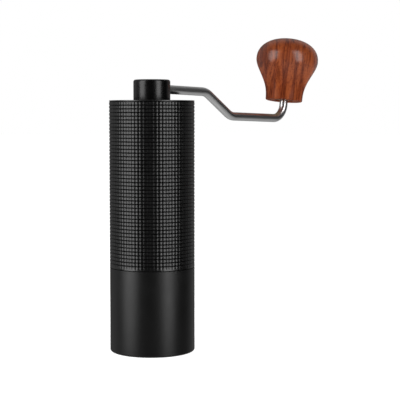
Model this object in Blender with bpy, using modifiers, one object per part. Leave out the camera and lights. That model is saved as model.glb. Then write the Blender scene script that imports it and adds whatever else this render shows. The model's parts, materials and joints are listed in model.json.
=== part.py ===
"""Hand crank coffee grinder with a conical burr set, as an assembly of separate pieces.

Sizes below are in millimetres and the scene is in metres. +Z is up along the crank's axis,
+X is along the crank arm at rest, and the origin is the centre of the cup's flat bottom.
"""
import math

import bmesh
import bpy
from mathutils import Matrix, Vector

MM = 0.001
GAP = 0.3                   # clearance between touching pieces
MERGE = 0.00001             # merge distance of the turned shapes, in metres
BODY_STEPS = 48             # facets around the large round pieces
PART_STEPS = 32             # around the middle-sized ones
SMALL_STEPS = 24            # and around the small ones

# Body: grip barrel above, screwed into the grounds cup below
BODY_R = 26.0
SEAM_Z = 51.6               # the cup's rim
BARREL_TOP = 153.5
RIM_CHAMFER = 0.4
HOPPER_R = 23.8             # inside of the barrel
NECK_R = 23.4               # threaded neck, outside
NECK_BORE_R = 21.8
NECK_BOTTOM = 43.5
SHOULDER_Z = 62.0           # step inside the barrel that the lower bridge rests on
UPPER_STEP_Z = 130.7        # step that the upper bridge rests on
UPPER_STEP_R = 24.3
MOUTH_R = 24.9              # recess that the lid drops into
MOUTH_Z = 150.9
CUP_EDGE_R = 1.1
CUP_CAVITY_R = 22.2
CUP_FLOOR = 3.0
SEAL_LEDGE_Z = 41.0

# Ball bearings, 22 mm outside and 8 mm inside
RACE_OUT_R = 10.7
RACE_MID_OUT_R = 8.9
RACE_MID_IN_R = 6.1
RACE_IN_R = 4.3
GROOVE_DEPTH = 0.45
RACE_HEIGHT = 6.7
BALL_R = 1.6
BALL_PITCH_R = 7.5
BALL_COUNT = 7
LOWER_RACE_Z = 69.8
UPPER_RACE_Z = 131.3

# Three-arm bridges that carry the bearings
SPOKES = 3
FIRST_SPOKE_ANGLE = 60.0
BRIDGE_HUB_R = 13.2
BRIDGE_SEAT_R = 11.0
BRIDGE_LIP_R = 8.8
BRIDGE_RING_IN_R = 21.3

# Drive shaft
SHAFT_R = 4.0
SHAFT_TOP = 153.0
SHAFT_FOOT = 30.5
FOOT_R = 3.7
DRIVE_HEX_FLAT = 3.45       # centre to flat of the hexagonal drive end
DRIVE_HEX_Z = 142.0
BURR_FLAT = 3.3             # centre to flat where the inner burr slides
BURR_FLATS_TOP = 64.0
FOOT_TOP = 44.2
COLLAR_R = 5.4

# Burrs
BURR_RING_R = 21.5
BURR_RING_Z = (46.0, 62.0)
INNER_BURR_Z = (42.4, 55.5)  # at the coarsest setting: the dial raises it by up to 2.5
SPRING_POCKET = 3.0         # depth of the pocket in its top for the spring
SPRING_TOP = 68.0
SCREW_PITCH_R = 19.3
SCREW_R = 1.25
SCREW_HEAD_R = 2.3

# Adjustment dial
DIAL_R = 12.5
DIAL_TOP = INNER_BURR_Z[0] - 1.5
DIAL_HEIGHT = 9.4
DIAL_SCALLOPS = 12
CLICK_R = 9.0               # distance of the click ball from the shaft's axis
CLICK_BALL_R = 1.0
PLATE_Z = (INNER_BURR_Z[0] - 1.0, INNER_BURR_Z[0] - 0.3)
CLICKS = 12                 # dimples of the click plate, one for each click of a turn

# Lid and crank hub
LID_R = 24.6
LID_Z = (151.2, 153.2)
LID_HOLE_R = 8.0
SKIRT_R = 23.7
HUB_R = 11.25
HUB_Z = (153.5, 166.1)
HUB_EDGE_R = 1.4
STEM_R = 7.7
STEM_BOTTOM = 147.5
CLIP_GROOVE_R = 6.6
CLIP_GROOVE_Z = (149.6, 151.1)
LINER_R = 5.6
SOCKET_FLAT = 3.75          # centre to flat of the socket that takes the drive end
SOCKET_TOP = 154.0

# Crank arm: a round rod in the plane y = 0, then the knob on its upturned end
ROD_R = 2.75
ROD_START_X = -4.5
ROD_HEIGHT = 160.7          # height of the rod's centreline on the crank's axis
ROD_DROOP = math.radians(1.7)
LEAN = math.radians(6.8)    # the upturned end leans outwards
BEND = math.radians(32.4)
BEND_R = 11.8
END_BEND_R = 10.2
INNER_RUN = 43.1
SLOPE_RUN = 20.8
OUTER_RUN = 38.7
STEM_TO_KNOB = 2.7
STEM_IN_KNOB = 27.0
ROD_STEP = math.radians(6.0)

KNOB_BASE_R = 12.5
KNOB_MAX_R = 21.0
KNOB_WAIST_POWER = 1.38
KNOB_MAX_H = 27.8
KNOB_H = 42.4
KNOB_DOME_POWER = 2.2
DOME_ROWS = 8
WAIST_ROWS = 8
KNOB_BORE_R = 6.0
KNOB_BORE_H = 29.5
BUSH_R = 5.7
BUSH_BORE_R = 3.1
BUSH_H = (0.6, 23.6)
KNOB_CLIP_H = (24.0, 24.8)

parts = None
cutters = None


def new_collections():
    """Empty the scene and make one collection for the parts and one for the cutters."""
    global parts, cutters
    for old in list(bpy.data.objects):
        bpy.data.objects.remove(old, do_unlink=True)
    parts = bpy.data.collections.new("coffee_grinder")
    cutters = bpy.data.collections.new("cutters")
    for collection in (parts, cutters):
        bpy.context.scene.collection.children.link(collection)


def material(name, colour, roughness, metallic):
    made = bpy.data.materials.new(name)
    made.use_nodes = True
    shader = made.node_tree.nodes["Principled BSDF"]
    shader.inputs["Base Color"].default_value = (*colour, 1.0)
    shader.inputs["Roughness"].default_value = roughness
    shader.inputs["Metallic"].default_value = metallic
    made.diffuse_color = (*colour, 1.0)
    return made


FINISHES = {
    "anodised": ((0.020, 0.020, 0.021), 0.42, 0.6),
    "black_plastic": ((0.018, 0.018, 0.019), 0.35, 0.0),
    "steel": ((0.55, 0.55, 0.56), 0.30, 1.0),
    "burr_steel": ((0.40, 0.40, 0.42), 0.38, 1.0),
    "cast_alloy": ((0.45, 0.45, 0.46), 0.50, 1.0),
    "brass": ((0.72, 0.52, 0.22), 0.35, 1.0),
    "wood": ((0.26, 0.085, 0.035), 0.22, 0.0),
    "rubber": ((0.03, 0.03, 0.03), 0.75, 0.0),
}


def register(obj, finish):
    """Put a piece among the parts with a material of its own."""
    parts.objects.link(obj)
    if finish:
        obj.data.materials.append(material(obj.name, *FINISHES[finish]))
    return obj


def as_cutter(obj):
    """Put a helper shape among the cutters, drawn as wire and never rendered."""
    cutters.objects.link(obj)
    obj.hide_render = True
    obj.display_type = "WIRE"
    return obj


def boolean(obj, other, operation="DIFFERENCE"):
    modifier = obj.modifiers.new(operation.lower() + "_" + other.name, "BOOLEAN")
    modifier.operation = operation
    modifier.solver = "EXACT"
    modifier.object = other
    return obj


def add_turned(name, profile, steps, loop):
    """Turn a profile of (radius, height) points, given down its outer side, around Z.

    A profile that starts and ends on the axis is open, and any other one is a closed loop.
    """
    mesh = bpy.data.meshes.new(name)
    points = [(r * MM, 0.0, z * MM) for r, z in profile]
    edges = [(i, i + 1) for i in range(len(points) - 1)]
    if loop:
        edges.append((len(points) - 1, 0))
    mesh.from_pydata(points, edges, [])
    obj = bpy.data.objects.new(name, mesh)
    screw = obj.modifiers.new("turn", "SCREW")
    screw.axis = "Z"
    screw.steps = steps
    screw.render_steps = steps
    screw.use_merge_vertices = True
    screw.merge_threshold = MERGE
    screw.use_smooth_shade = True
    return obj


def ring_profile(inner, outer, low, high):
    return [(outer, high), (outer, low), (inner, low), (inner, high)]


def turned(name, profile, finish, steps):
    loop = min(r for r, _ in profile) > 0.0
    return register(add_turned(name, profile, steps, loop), finish)


def turned_cutter(name, profile, steps=PART_STEPS):
    loop = min(r for r, _ in profile) > 0.0
    return as_cutter(add_turned(name, profile, steps, loop))


def solid_cylinder(name, radius, length, centre, direction=(0, 0, 1), sides=24):
    """A capped cylinder about its centre, along a direction."""
    mesh = bpy.data.meshes.new(name)
    shape = bmesh.new()
    bmesh.ops.create_cone(shape, cap_ends=True, segments=sides, radius1=radius * MM,
                          radius2=radius * MM, depth=length * MM)
    shape.to_mesh(mesh)
    shape.free()
    obj = bpy.data.objects.new(name, mesh)
    obj.location = Vector(centre) * MM
    obj.rotation_euler = Vector(direction).to_track_quat("Z", "Y").to_euler()
    return obj


def solid_box(name, size, centre, turn=0.0):
    """A box of the given size, turned about Z in its place."""
    mesh = bpy.data.meshes.new(name)
    shape = bmesh.new()
    bmesh.ops.create_cube(shape, size=1.0)
    bmesh.ops.scale(shape, vec=Vector(size) * MM, verts=shape.verts)
    shape.to_mesh(mesh)
    shape.free()
    obj = bpy.data.objects.new(name, mesh)
    obj.location = Vector(centre) * MM
    obj.rotation_euler = (0.0, 0.0, turn)
    return obj


def polar(radius, angle, height):
    return (radius * math.cos(angle), radius * math.sin(angle), height)


def spoke_angles():
    return [math.radians(FIRST_SPOKE_ANGLE + i * 360.0 / SPOKES) for i in range(SPOKES)]


def arc(centre_r, centre_z, radius, start, end, count):
    """Points of a round corner, with angles in degrees from the outward direction."""
    points = []
    for i in range(count + 1):
        angle = math.radians(start + (end - start) * i / count)
        points.append((centre_r + radius * math.cos(angle), centre_z + radius * math.sin(angle)))
    return points


# ---------------------------------------------------------------- body

def make_grip_barrel():
    """The knurled grip tube with its threaded neck, hopper and lid mouth."""
    shoulder = SEAM_Z + GAP
    profile = [
        (BODY_R - RIM_CHAMFER, BARREL_TOP), (BODY_R, BARREL_TOP - RIM_CHAMFER),
        (BODY_R, shoulder), (NECK_R, shoulder), (NECK_R, NECK_BOTTOM),
        (NECK_BORE_R, NECK_BOTTOM), (NECK_BORE_R, SHOULDER_Z), (HOPPER_R, SHOULDER_Z),
        (HOPPER_R, UPPER_STEP_Z), (UPPER_STEP_R, UPPER_STEP_Z), (UPPER_STEP_R, MOUTH_Z),
        (MOUTH_R, MOUTH_Z), (MOUTH_R, BARREL_TOP),
    ]
    return turned("grip_barrel", profile, "anodised", BODY_STEPS)


def make_grounds_cup():
    """The plain cup that catches the grounds, with a threaded mouth and a seal ledge."""
    edge = arc(BODY_R - CUP_EDGE_R, CUP_EDGE_R, CUP_EDGE_R, 0.0, -90.0, 4)
    mouth_r = NECK_R + GAP
    profile = [(BODY_R, SEAM_Z)] + edge + [
        (0.0, 0.0), (0.0, CUP_FLOOR), (CUP_CAVITY_R, CUP_FLOOR),
        (CUP_CAVITY_R, SEAL_LEDGE_Z), (mouth_r, SEAL_LEDGE_Z), (mouth_r, SEAM_Z)]
    # the outline starts and ends at the rim, so it is closed by a last edge of its own
    cup = add_turned("grounds_cup", profile, BODY_STEPS, loop=True)
    return register(cup, "anodised")


def make_cup_seal_ring():
    """The ring on the cup's ledge that the neck presses on."""
    profile = ring_profile(CUP_CAVITY_R + 0.2, NECK_R, SEAL_LEDGE_Z + GAP, NECK_BOTTOM - GAP)
    return turned("cup_seal_ring", profile, "rubber", BODY_STEPS)


# ---------------------------------------------------------------- bearings and bridges

def make_bearing(prefix, low):
    """Outer race, inner race, and the balls in their cage, as three pieces."""
    middle = low + RACE_HEIGHT / 2.0
    high = low + RACE_HEIGHT
    half = BALL_R * 0.8
    outer = [(RACE_OUT_R, high), (RACE_OUT_R, low), (RACE_MID_OUT_R, low),
             (RACE_MID_OUT_R, middle - half), (RACE_MID_OUT_R + GROOVE_DEPTH, middle - half / 2),
             (RACE_MID_OUT_R + GROOVE_DEPTH, middle + half / 2),
             (RACE_MID_OUT_R, middle + half), (RACE_MID_OUT_R, high)]
    inner = [(RACE_MID_IN_R, high), (RACE_MID_IN_R, middle + half),
             (RACE_MID_IN_R - GROOVE_DEPTH, middle + half / 2),
             (RACE_MID_IN_R - GROOVE_DEPTH, middle - half / 2),
             (RACE_MID_IN_R, middle - half), (RACE_MID_IN_R, low),
             (RACE_IN_R, low), (RACE_IN_R, high)]
    turned(prefix + "_outer_race", outer, "steel", SMALL_STEPS)
    turned(prefix + "_inner_race", inner, "steel", SMALL_STEPS)
    cage = turned(prefix + "_ball_cage",
                  ring_profile(BALL_PITCH_R - 0.5, BALL_PITCH_R + 0.5, middle - 2.2, middle + 2.2),
                  "steel", steps=BALL_COUNT * 4)
    for i in range(BALL_COUNT):
        angle = 2.0 * math.pi * (i + 0.5) / BALL_COUNT
        mesh = bpy.data.meshes.new("ball")
        shape = bmesh.new()
        bmesh.ops.create_uvsphere(shape, u_segments=10, v_segments=6, radius=BALL_R * MM)
        shape.to_mesh(mesh)
        shape.free()
        ball = as_cutter(bpy.data.objects.new(prefix + "_ball_" + str(i + 1), mesh))
        ball.location = Vector(polar(BALL_PITCH_R, angle, middle)) * MM
        boolean(cage, ball, "UNION")


def make_bridge(name, ring_out, ring_z, hub_z, spoke_z, spoke_width, race_z):
    """A spider of hub, three spokes and outer ring, with the bearing's seat in its hub."""
    bridge = turned(name, ring_profile(BRIDGE_RING_IN_R, ring_out, *ring_z), "cast_alloy",
                    BODY_STEPS)
    hub = as_cutter(solid_cylinder(name + "_hub", BRIDGE_HUB_R, hub_z[1] - hub_z[0],
                                   (0, 0, sum(hub_z) / 2.0), sides=PART_STEPS))
    for i, angle in enumerate(spoke_angles()):
        reach = (BRIDGE_RING_IN_R + ring_out) / 2.0
        size = (reach, spoke_width, spoke_z[1] - spoke_z[0])
        spoke = solid_box(name + "_spoke_" + str(i + 1), size,
                          polar(reach / 2.0, angle, sum(spoke_z) / 2.0), angle)
        boolean(bridge, as_cutter(spoke), "UNION")
    boolean(bridge, hub, "UNION")
    seat_low = race_z - GAP
    seat = turned_cutter(name + "_seat", [
        (0.0, hub_z[1] + 1.0), (BRIDGE_SEAT_R, hub_z[1] + 1.0), (BRIDGE_SEAT_R, seat_low),
        (BRIDGE_LIP_R, seat_low), (BRIDGE_LIP_R, hub_z[0] - 1.0), (0.0, hub_z[0] - 1.0)])
    return boolean(bridge, seat)


def make_bridges():
    make_bridge("upper_bearing_bridge", UPPER_STEP_R - GAP, (131.0, 136.0), (129.6, 138.6),
                (131.2, 135.8), 4.0, UPPER_RACE_Z)
    lower = make_bridge("lower_bearing_bridge", HOPPER_R - GAP, (62.3, 67.0), (67.9, 77.0),
                        (62.8, 71.5), 5.6, LOWER_RACE_Z)
    # the space under the lower hub takes the burr spring, so the spokes stop short of it
    room = turned_cutter("spring_room", [
        (0.0, 67.9), (BRIDGE_HUB_R, 67.9), (BRIDGE_HUB_R + 3.0, 64.0),
        (BRIDGE_HUB_R + 3.0, 61.0), (0.0, 61.0)])
    boolean(lower, room)
    for i, angle in enumerate(spoke_angles()):
        spot = (SCREW_HEAD_R + GAP, 8.0, polar(SCREW_PITCH_R, angle, 71.3))
        boolean(lower, as_cutter(solid_cylinder("head_room_" + str(i + 1), *spot)))
        hole = (SCREW_R + GAP, 20.0, polar(SCREW_PITCH_R, angle, 64.0))
        boolean(lower, as_cutter(solid_cylinder("screw_hole_" + str(i + 1), *hole)))


# ---------------------------------------------------------------- drive shaft

def make_drive_shaft():
    """The shaft from the crank's socket to the adjustment dial."""
    lower_collar = LOWER_RACE_Z + RACE_HEIGHT + GAP
    upper_collar = UPPER_RACE_Z - GAP
    groove = UPPER_RACE_Z + RACE_HEIGHT + GAP
    profile = [
        (0.0, SHAFT_TOP), (SHAFT_R - 0.6, SHAFT_TOP), (SHAFT_R, SHAFT_TOP - 0.6),
        (SHAFT_R, groove + 1.3), (SHAFT_R - 0.6, groove + 1.3), (SHAFT_R - 0.6, groove),
        (SHAFT_R, groove), (SHAFT_R, upper_collar), (COLLAR_R, upper_collar),
        (COLLAR_R, upper_collar - 2.4), (SHAFT_R, upper_collar - 2.4),
        (SHAFT_R, lower_collar + 2.4), (COLLAR_R, lower_collar + 2.4),
        (COLLAR_R, lower_collar), (SHAFT_R, lower_collar), (SHAFT_R, FOOT_TOP),
        (FOOT_R, FOOT_TOP), (FOOT_R, SHAFT_FOOT + 0.5), (FOOT_R - 0.5, SHAFT_FOOT),
        (0.0, SHAFT_FOOT)]
    shaft = turned("drive_shaft", profile, "steel", SMALL_STEPS)
    for i in range(6):
        angle = math.radians(60.0 * i)
        depth = SHAFT_R
        box = solid_box("hex_flat_" + str(i + 1), (depth, 12.0, 20.0),
                        polar(DRIVE_HEX_FLAT + depth / 2.0, angle, DRIVE_HEX_Z + 10.0), angle)
        boolean(shaft, as_cutter(box))
    for side in (1, -1):
        height = BURR_FLATS_TOP - FOOT_TOP + 1.0
        box = solid_box("burr_flat_" + str(side), (12.0, SHAFT_R, height),
                        (0.0, side * (BURR_FLAT + SHAFT_R / 2.0), FOOT_TOP - 1.0 + height / 2.0))
        boolean(shaft, as_cutter(box))


def open_ring(name, inner, outer, low, high, opening, finish):
    """A snap ring: a flat ring with a gap in it towards +X."""
    ring = turned(name, ring_profile(inner, outer, low, high), finish, SMALL_STEPS)
    width = (outer + 1.0, opening, high - low + 2.0)
    gap = solid_box(name + "_gap", width, ((outer + 1.0) / 2.0, 0.0, (low + high) / 2.0))
    return boolean(ring, as_cutter(gap))


def make_shaft_fittings():
    groove = UPPER_RACE_Z + RACE_HEIGHT + GAP
    open_ring("shaft_circlip", SHAFT_R - 0.3, 6.2, groove + 0.25, groove + 1.05, 3.0, "steel")
    turned("spring_washer", ring_profile(SHAFT_R + GAP, 6.2, 68.6, 69.5), "steel", SMALL_STEPS)
    foot = INNER_BURR_Z[1] - SPRING_POCKET + 0.9
    make_spring("burr_spring", 4.95, 0.45, foot, SPRING_TOP, 5.0, 11, (0.0, 0.0), "steel")


def make_spring(name, coil_r, wire_r, low, high, turns, points_per_turn, centre, finish):
    """A helical spring between two heights, as a wire along its helix."""
    curve = bpy.data.curves.new(name, "CURVE")
    curve.dimensions = "3D"
    curve.bevel_depth = wire_r * MM
    curve.bevel_resolution = 2
    curve.use_fill_caps = True
    spline = curve.splines.new("POLY")
    count = int(turns * points_per_turn) + 1
    spline.points.add(count - 1)
    rise = high - low - 2.0 * wire_r
    for i in range(count):
        angle = 2.0 * math.pi * i / points_per_turn
        spot = polar(coil_r, angle, low + wire_r + rise * i / (count - 1))
        spline.points[i].co = ((spot[0] + centre[0]) * MM, (spot[1] + centre[1]) * MM,
                               spot[2] * MM, 1.0)
    obj = bpy.data.objects.new(name, curve)
    return register(obj, finish)


# ---------------------------------------------------------------- burrs

def toothed_body(name, outer, inner, finish, teeth, twist, columns):
    """A burr: a closed ring with teeth on one wall.

    outer and inner list (radius, height, tooth depth) from top to bottom. Each height is a
    section of its own, with the teeth turned a little further than the one above it.
    """
    mesh = bpy.data.meshes.new(name)
    shape = bmesh.new()
    sections = list(outer) + list(reversed(inner))
    top = outer[0][1]
    rows = []
    for radius, height, depth in sections:
        row = []
        for i in range(columns):
            angle = 2.0 * math.pi * i / columns
            turn = twist * (top - height)
            phase = (teeth * (angle - turn) / (2.0 * math.pi)) % 1.0
            reach = radius + depth * (1.0 - phase)
            row.append(shape.verts.new(Vector(polar(reach, angle, height)) * MM))
        rows.append(row)
    for j, row in enumerate(rows):
        below = rows[(j + 1) % len(rows)]
        for i in range(columns):
            k = (i + 1) % columns
            shape.faces.new((row[i], below[i], below[k], row[k]))
    bmesh.ops.recalc_face_normals(shape, faces=shape.faces)
    bmesh.ops.triangulate(shape, faces=shape.faces)
    shape.to_mesh(mesh)
    shape.free()
    return register(bpy.data.objects.new(name, mesh), finish)


def make_inner_burr():
    """The cone burr: steep flutes above and fine teeth at its foot."""
    low, high = INNER_BURR_Z
    outer = [(6.9, high, 0.6), (8.9, high - 3.5, -1.2), (12.9, high - 7.2, -1.3),
             (16.6, high - 10.3, -0.9), (17.9, high - 11.6, -0.5), (17.9, low, -0.5)]
    inner = [(4.4, high, 0.0), (4.4, low, 0.0)]
    burr = toothed_body("inner_burr", outer, inner, "burr_steel", 12, 0.045, 48)
    # bore with two flats for the shaft, and a pocket for the spring's foot
    bore = as_cutter(solid_cylinder("burr_bore", SHAFT_R + GAP, 30.0, (0, 0, 50.0), sides=32))
    slot = as_cutter(solid_box("burr_bore_width", (20.0, 2.0 * (BURR_FLAT + GAP), 40.0),
                               (0, 0, 50.0)))
    boolean(bore, slot, "INTERSECT")
    pocket = as_cutter(solid_cylinder("spring_pocket", 5.8, 2.0 * SPRING_POCKET, (0, 0, high),
                                      sides=32))
    boolean(burr, pocket)
    return burr


def make_burr_ring():
    """The fixed outer burr, held up against the lower bridge by three screws."""
    low, high = BURR_RING_Z
    outer = [(BURR_RING_R, high, 0.0), (BURR_RING_R, low, 0.0)]
    inner = [(16.1, high, 0.9), (16.9, high - 7.0, 0.9), (18.1, high - 12.5, 0.7),
             (18.4, low, 0.5)]
    ring = toothed_body("burr_ring", outer, inner, "burr_steel", 15, -0.03, 60)
    for i, angle in enumerate(spoke_angles()):
        spot = (SCREW_R + GAP, 14.0, polar(SCREW_PITCH_R, angle, high), (0, 0, 1), 12)
        boolean(ring, as_cutter(solid_cylinder("burr_ring_hole_" + str(i + 1), *spot)))
    return ring


def make_burr_screws():
    """Three cap screws from the lower bridge down into the burr ring."""
    for i, angle in enumerate(spoke_angles()):
        name = "burr_screw_" + str(i + 1)
        profile = [(0.0, 69.8), (SCREW_HEAD_R, 69.8), (SCREW_HEAD_R, 67.6),
                   (SCREW_R, 67.6), (SCREW_R, 55.6), (0.0, 55.6)]
        screw = turned(name, profile, "steel", steps=16)
        screw.location = Vector(polar(SCREW_PITCH_R, angle, 0.0)) * MM
        socket = solid_cylinder(name + "_socket", 1.2, 3.0,
                                polar(SCREW_PITCH_R, angle, 70.0), sides=6)
        boolean(screw, as_cutter(socket))


# ---------------------------------------------------------------- adjustment dial

def make_click_plate():
    """The thin plate under the inner burr, with a ring of dimples for the click ball."""
    plate = turned("click_plate", ring_profile(SHAFT_R + 0.6, 12.0, *PLATE_Z), "steel",
                   steps=38)
    for i in range(CLICKS):
        angle = 2.0 * math.pi * i / CLICKS
        spot = (0.55, 1.8, polar(CLICK_R, angle + 0.02, PLATE_Z[1] - 0.3), (0, 0, 1), 6)
        boolean(plate, as_cutter(solid_cylinder("dimple_" + str(i + 1), *spot)))


def make_dial():
    """The nut that sets the burrs' gap, with finger scallops and a pocket for the ball."""
    low, high = DIAL_TOP - DIAL_HEIGHT, DIAL_TOP
    profile = [(DIAL_R, high), (DIAL_R, low + 3.2), (DIAL_R - 1.5, low + 1.0),
               (DIAL_R - 3.5, low), (FOOT_R + GAP, low), (FOOT_R + GAP, high)]
    dial = turned("adjustment_dial", profile, "steel", PART_STEPS)
    for i in range(DIAL_SCALLOPS):
        angle = 2.0 * math.pi * (i + 0.5) / DIAL_SCALLOPS
        spot = (1.6, 12.0, polar(DIAL_R + 0.7, angle, low + 1.0), (0, 0, 1), 12)
        boolean(dial, as_cutter(solid_cylinder("scallop_" + str(i + 1), *spot)))
    pocket = solid_cylinder("click_pocket", CLICK_BALL_R + GAP, 6.4,
                            (CLICK_R, 0.0, high - 3.0), sides=16)
    boolean(dial, as_cutter(pocket))
    mesh = bpy.data.meshes.new("click_ball")
    shape = bmesh.new()
    bmesh.ops.create_uvsphere(shape, u_segments=12, v_segments=8, radius=CLICK_BALL_R * MM)
    shape.to_mesh(mesh)
    shape.free()
    ball = bpy.data.objects.new("click_ball", mesh)
    ball_top = PLATE_Z[0] - 0.2
    ball.location = Vector((CLICK_R, 0.0, ball_top - CLICK_BALL_R)) * MM
    register(ball, "steel")
    spring_top = ball_top - 2.0 * CLICK_BALL_R - 0.2
    make_spring("click_spring", 0.7, 0.15, high - 6.0, spring_top, 4.0, 8, (CLICK_R, 0.0),
                "steel")


# ---------------------------------------------------------------- lid and hub

def make_lid():
    """The hopper's cover, with a skirt that carries the seal ring."""
    low, high = LID_Z
    groove = (146.4, 149.4)
    profile = [
        (LID_R - 0.4, high), (LID_R, high - 0.4), (LID_R, low), (SKIRT_R, low),
        (SKIRT_R, groove[1]), (SKIRT_R - 1.4, groove[1]), (SKIRT_R - 1.4, groove[0]),
        (SKIRT_R, groove[0]), (SKIRT_R, 144.6), (SKIRT_R - 0.6, 144.0), (20.8, 144.0),
        (20.8, low), (LID_HOLE_R, low), (LID_HOLE_R, high)]
    turned("hopper_lid", profile, "black_plastic", BODY_STEPS)
    seal = [(24.0, 148.6), (24.0, 147.2), (23.5, 146.7), (SKIRT_R - 1.1, 146.7),
            (SKIRT_R - 1.1, 149.1), (23.5, 149.1)]
    turned("lid_seal_ring", seal, "rubber", BODY_STEPS)


def make_crank_hub():
    """The hub over the lid, with its stem through the lid and the bore for the rod."""
    low, high = HUB_Z
    edge = arc(HUB_R - HUB_EDGE_R, high - HUB_EDGE_R, HUB_EDGE_R, 90.0, 0.0, 5)
    profile = [(0.0, high)] + edge + [
        (HUB_R, low + 0.3), (HUB_R - 0.3, low), (STEM_R, low), (STEM_R, CLIP_GROOVE_Z[1]),
        (CLIP_GROOVE_R, CLIP_GROOVE_Z[1]), (CLIP_GROOVE_R, CLIP_GROOVE_Z[0]),
        (STEM_R, CLIP_GROOVE_Z[0]), (STEM_R, STEM_BOTTOM), (0.0, STEM_BOTTOM)]
    hub = turned("crank_hub", profile, "black_plastic", PART_STEPS)
    bore_top = SOCKET_TOP + 2.6
    liner_bore = solid_cylinder("liner_bore", LINER_R + GAP, bore_top - STEM_BOTTOM + 1.0,
                                (0, 0, (bore_top + STEM_BOTTOM - 1.0) / 2.0), sides=PART_STEPS)
    boolean(hub, as_cutter(liner_bore))
    start = rod_points()[0]
    along = Vector((math.cos(ROD_DROOP), 0.0, -math.sin(ROD_DROOP)))
    length = 20.0
    middle = Vector((start[0] - GAP, 0.0, start[1])) + along * (length / 2.0)
    rod_bore = solid_cylinder("rod_bore", ROD_R + GAP, length, middle, along, sides=24)
    boolean(hub, as_cutter(rod_bore))
    screw_hole = solid_cylinder("set_screw_hole", 1.6, 5.0, (9.4, 0.0, 155.4), sides=16)
    boolean(hub, as_cutter(screw_hole))


def make_hub_liner():
    """The steel insert whose six-sided socket turns the shaft."""
    low, high = STEM_BOTTOM + 0.2, SOCKET_TOP + 2.3
    profile = [(0.0, high), (LINER_R, high), (LINER_R, low), (0.0, low)]
    liner = turned("hub_liner", profile, "steel", PART_STEPS)
    socket = solid_cylinder("socket", SOCKET_FLAT / math.cos(math.pi / 6.0), 20.0,
                            (0, 0, SOCKET_TOP - 10.0), sides=6)
    # a six-sided primitive has a corner at +Y, so it already has flats towards +X
    boolean(liner, as_cutter(socket))


def make_hub_fittings():
    """The clip that keeps the hub in the lid, and the screw that locks the rod."""
    open_ring("hub_retaining_ring", CLIP_GROOVE_R + GAP, 9.8, CLIP_GROOVE_Z[0] + GAP,
              LID_Z[0] - GAP, 5.0, "steel")
    profile = [(0.0, 157.2), (0.9, 157.2), (1.3, 156.6), (1.3, 153.9), (0.0, 153.9)]
    screw = turned("arm_set_screw", profile, "steel", steps=16)
    screw.location = Vector((9.4, 0.0, 0.0)) * MM
    socket = solid_cylinder("set_screw_socket", 0.75, 2.4, (9.4, 0.0, 153.9), sides=6)
    boolean(screw, as_cutter(socket))


# ---------------------------------------------------------------- crank arm and knob

def rod_points():
    """(x, z) points of the rod's centreline: level, S-bend down, level, then upturned."""
    heading = -ROD_DROOP
    x = ROD_START_X
    z = ROD_HEIGHT + x * math.tan(heading)
    points = [(x, z)]

    def run(length):
        nonlocal x, z
        x += length * math.cos(heading)
        z += length * math.sin(heading)
        points.append((x, z))

    def bend(angle, radius):
        nonlocal heading
        steps = max(2, round(abs(angle) / ROD_STEP))
        chord = 2.0 * radius * math.sin(abs(angle) / steps / 2.0)
        for _ in range(steps):
            heading += angle / steps / 2.0
            run(chord)
            heading += angle / steps / 2.0

    run(INNER_RUN - ROD_START_X)
    bend(-BEND, BEND_R)
    run(SLOPE_RUN)
    bend(BEND, BEND_R)
    run(OUTER_RUN)
    bend(math.pi / 2.0 - LEAN + ROD_DROOP, END_BEND_R)
    run(STEM_TO_KNOB)
    run(STEM_IN_KNOB)
    return points


def knob_matrix():
    """Place of the knob: its base's centre on the upturned end, leaning with it."""
    x, z = rod_points()[-2]
    return (Matrix.Translation(Vector((x, 0.0, z)) * MM)
            @ Matrix.Rotation(LEAN, 4, "Y"))


def make_crank_arm():
    curve = bpy.data.curves.new("crank_arm", "CURVE")
    curve.dimensions = "3D"
    curve.bevel_depth = ROD_R * MM
    curve.bevel_resolution = 4
    curve.use_fill_caps = True
    points = rod_points()
    spline = curve.splines.new("POLY")
    spline.points.add(len(points) - 1)
    for point, (x, z) in zip(spline.points, points):
        point.co = (x * MM, 0.0, z * MM, 1.0)
    tube = bpy.data.objects.new("crank_arm_tube", curve)
    bpy.context.scene.collection.objects.link(tube)
    bpy.context.view_layer.update()
    graph = bpy.context.evaluated_depsgraph_get()
    mesh = bpy.data.meshes.new_from_object(tube.evaluated_get(graph))
    mesh.name = "crank_arm"
    shape = bmesh.new()
    shape.from_mesh(mesh)
    bmesh.ops.remove_doubles(shape, verts=shape.verts, dist=MERGE)
    shape.to_mesh(mesh)
    shape.free()
    arm = bpy.data.objects.new("crank_arm", mesh)
    arm.matrix_world = tube.matrix_world
    bpy.data.objects.remove(tube, do_unlink=True)
    register(arm, "steel")
    # groove near the rod's end that takes the knob's clip
    groove = turned_cutter("knob_clip_groove", ring_profile(
        2.1, 4.0, KNOB_CLIP_H[0] - 0.25, KNOB_CLIP_H[1] + 0.25))
    groove.matrix_world = knob_matrix()
    boolean(arm, groove)


def knob_radius(height):
    """The knob's outline: a waist that opens smoothly, then a squarish dome."""
    if height <= KNOB_MAX_H:
        t = (height / KNOB_MAX_H) ** KNOB_WAIST_POWER
        return KNOB_BASE_R + (KNOB_MAX_R - KNOB_BASE_R) * (3.0 * t * t - 2.0 * t ** 3)
    t = (height - KNOB_MAX_H) / (KNOB_H - KNOB_MAX_H)
    return KNOB_MAX_R * (1.0 - t ** KNOB_DOME_POWER) ** (1.0 / KNOB_DOME_POWER)


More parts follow.
